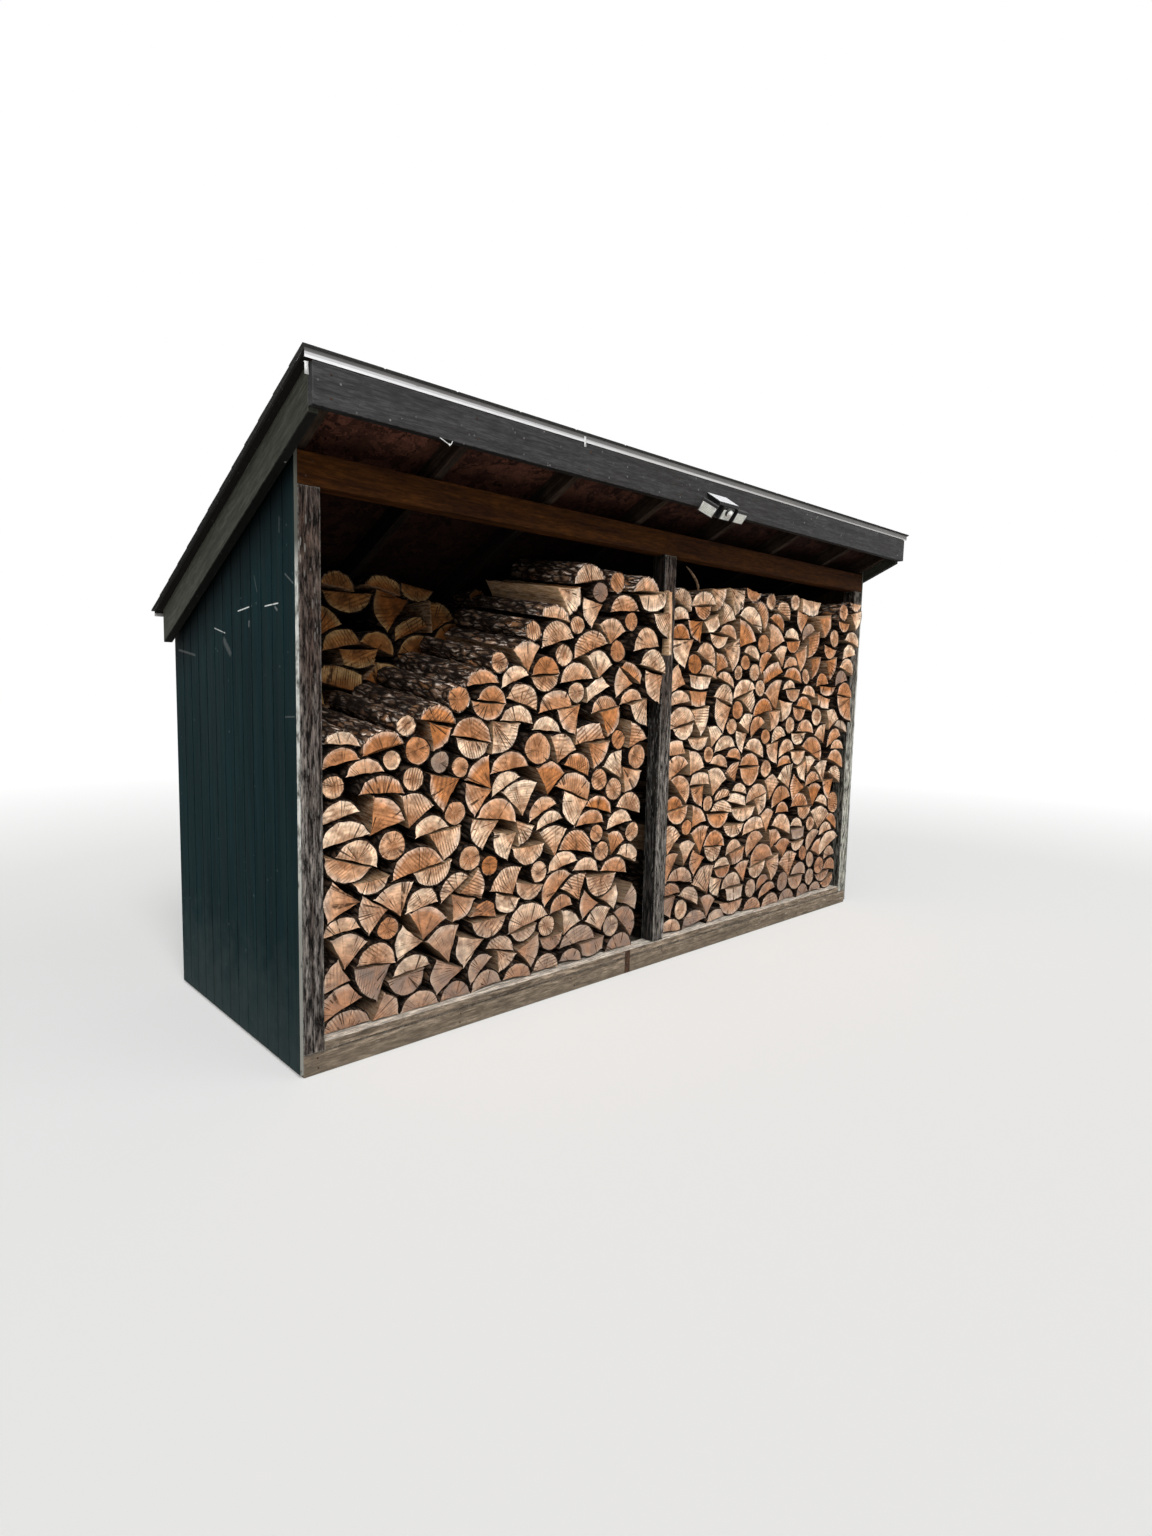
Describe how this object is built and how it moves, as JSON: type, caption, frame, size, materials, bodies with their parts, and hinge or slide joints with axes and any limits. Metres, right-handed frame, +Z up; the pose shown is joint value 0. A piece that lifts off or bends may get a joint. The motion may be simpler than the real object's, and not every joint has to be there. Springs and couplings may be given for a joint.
{
  "type": "log store",
  "caption": "Open-fronted timber log store with a lean-to shingle roof, grooved siding, a middle post, two bays of stacked split firewood and a fascia lamp.",
  "frame": {"origin": "ground level under the front sill's front face, midway between the end posts", "axes": "+Z up, +X to the right along the open front, +Y from the open front towards the rear wall"},
  "size_m": [4.373, 1.7517, 2.6302],
  "materials": {
    "split_logs": "split and sawn softwood, orange-tan ends with dark bark",
    "rough_timber": "dark rough-sawn softwood",
    "painted_siding": "grooved plywood, dark teal-green paint, matt",
    "stained_beam": "brown stained softwood",
    "weathered_post": "weathered grey-brown softwood with upright checks",
    "base_timber": "weathered grey-brown softwood, soiled",
    "charcoal_trim": "charcoal painted softwood, chipped",
    "strand_board": "strand board, reddish brown underneath",
    "roof_shingle": "dark mineral-faced asphalt shingles",
    "drip_metal": "pale folded sheet metal, dulled",
    "rusty_strap": "dark rusty steel",
    "lamp_body": "black moulded plastic",
    "lamp_face": "clear lens over pale light grids",
    "lamp_panel": "glazed solar cells in a black frame"
  },
  "bodies": {
    "root": {"barge_board_left": "charcoal_trim", "barge_board_right": "charcoal_trim", "barge_packing": "charcoal_trim", "bearer_board": "base_timber", "bearer_left": "base_timber", "bearer_right": "base_timber", "drip_edge_front": "drip_metal", "drip_edge_rear": "drip_metal", "fascia": "charcoal_trim", "firewood_front_left": "split_logs", "firewood_front_right": "split_logs", "firewood_rear_left": "split_logs", "firewood_rear_right": "split_logs", "front_board_left": "base_timber", "front_board_right": "base_timber", "front_post_left": "weathered_post", "front_post_middle": "weathered_post", "front_post_right": "weathered_post", "front_sill_left": "base_timber", "front_sill_right": "base_timber", "header_beam": "stained_beam", "joint_strap": "rusty_strap", "lamp_head_left": "lamp_face", "lamp_head_middle": "lamp_face", "lamp_head_right": "lamp_face", "lamp_housing": "lamp_body", "lamp_sensor": "lamp_body", "lamp_solar_panel": "lamp_panel", "left_sill": "base_timber", "middle_sill": "base_timber", "rafters": "rough_timber", "rear_beam": "rough_timber", "rear_board": "base_timber", "rear_post_left": "weathered_post", "rear_post_middle": "weathered_post", "rear_post_right": "weathered_post", "rear_sill": "base_timber", "right_sill": "base_timber", "roof_deck_lower": "strand_board", "roof_deck_upper": "strand_board", "shingles": "roof_shingle", "wall_left": "painted_siding", "wall_rails": "rough_timber", "wall_rear": "painted_siding", "wall_right": "painted_siding"}
  },
  "joints": []
}
